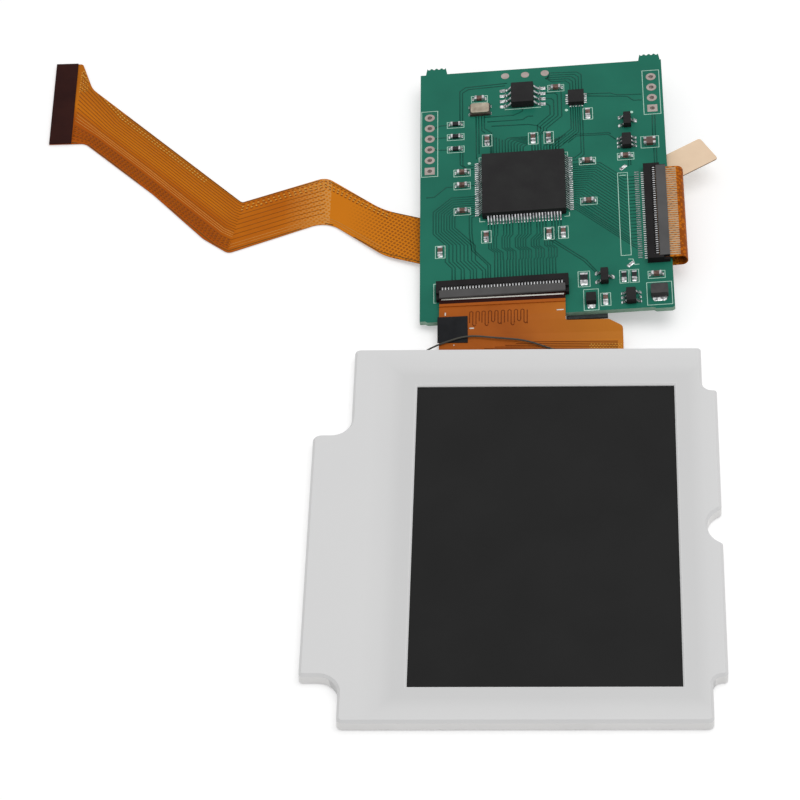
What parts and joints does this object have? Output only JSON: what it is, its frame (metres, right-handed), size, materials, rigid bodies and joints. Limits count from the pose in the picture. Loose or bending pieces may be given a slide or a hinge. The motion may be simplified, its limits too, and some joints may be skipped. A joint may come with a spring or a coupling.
{
  "type": "lcd display",
  "caption": "Replacement colour display for a handheld console: screen in a milky plastic bracket, film tail, small driver board with flip-latch connectors, and long ribbon.",
  "frame": {"origin": "middle of the picture window, on the plane of the bracket's and the metal tray's back", "axes": "+Z out of the picture, +Y in the screen's plane towards the driver board, +X to the viewer's right"},
  "size_m": [0.1143, 0.1479, 0.0067],
  "materials": {
    "milky_plastic": "translucent satin",
    "steel": "satin",
    "white_film": "matt",
    "white_plastic": "matt",
    "acrylic": "clear",
    "lamp": "gloss",
    "film_board": "satin",
    "ribbon_film": "satin",
    "glass": "polished",
    "dark_film": "gloss",
    "silicon": "polished",
    "stiffener": "satin",
    "black_tape": "matt",
    "wire_cover": "satin",
    "board_green": "satin",
    "chip_black": "matt",
    "tinned": "satin",
    "housing_black": "matt",
    "latch_grey": "satin",
    "gold": "satin",
    "capacitor_body": "matt",
    "resistor_body": "gloss",
    "ferrite": "matt",
    "can": "satin"
  },
  "bodies": {
    "kit": {"bracket": "milky_plastic", "metal_tray": "steel", "backlight_frame": "white_plastic", "reflector_film": "white_film", "light_guide": "acrylic", "diffuser_films": "white_film", "backlight_leds": "lamp", "led_flex": "ribbon_film", "rear_polariser": "dark_film", "tft_glass": "glass", "colour_filter_glass": "glass", "front_polariser": "dark_film", "display_driver_chip": "silicon", "jumper_wire": "wire_cover", "console_ribbon": "ribbon_film", "ribbon_plug_stiffener": "stiffener", "ribbon_plug_fingers": "gold", "ribbon_tail_fingers": "gold", "ribbon_tail_stiffener": "stiffener", "touch_pad": "gold", "display_flex": "film_board", "display_flex_stiffener": "stiffener", "flex_tape": "black_tape", "edge_foam": "black_tape", "driver_board": "board_green", "processor_body": "chip_black", "processor_leads": "tinned", "memory_chip": "chip_black", "memory_chip_leads": "tinned", "touch_chip": "chip_black", "crystal": "can", "crystal_capacitor": "capacitor_body", "boost_converter": "chip_black", "power_inductor": "ferrite", "schottky_diode": "chip_black", "boost_input_capacitor": "capacitor_body", "boost_output_capacitor": "capacitor_body", "level_shifter": "chip_black", "shifter_capacitor": "capacitor_body", "filter_array": "ferrite", "transistor_1": "chip_black", "transistor_2": "chip_black", "sense_resistor": "resistor_body", "feedback_resistors": "resistor_body", "decoupling_capacitors": "capacitor_body", "display_capacitor": "capacitor_body", "touch_capacitor_1": "capacitor_body", "touch_capacitor_2": "capacitor_body", "key_resistor_1": "resistor_body", "key_resistor_2": "resistor_body", "key_resistor_3": "resistor_body", "display_connector_housing": "housing_black", "display_connector_contacts": "tinned", "ribbon_connector_housing": "housing_black", "ribbon_connector_contacts": "tinned"},
    "display_latch": {"display_connector_latch": "latch_grey"},
    "ribbon_latch": {"ribbon_connector_latch": "latch_grey"}
  },
  "joints": [
    {"name": "display_latch_hinge", "type": "hinge", "parent": "kit", "child": "display_latch", "pos_m": [-0.00707, 0.05078, 0.00375], "axis": [-0.9979, -0.0188, -0.062], "range_deg": [0, 90]},
    {"name": "ribbon_latch_hinge", "type": "hinge", "parent": "kit", "child": "ribbon_latch", "pos_m": [0.01855, 0.06638, 0.00597], "axis": [0.0213, -0.999, -0.0397], "range_deg": [0, 90]}
  ]
}
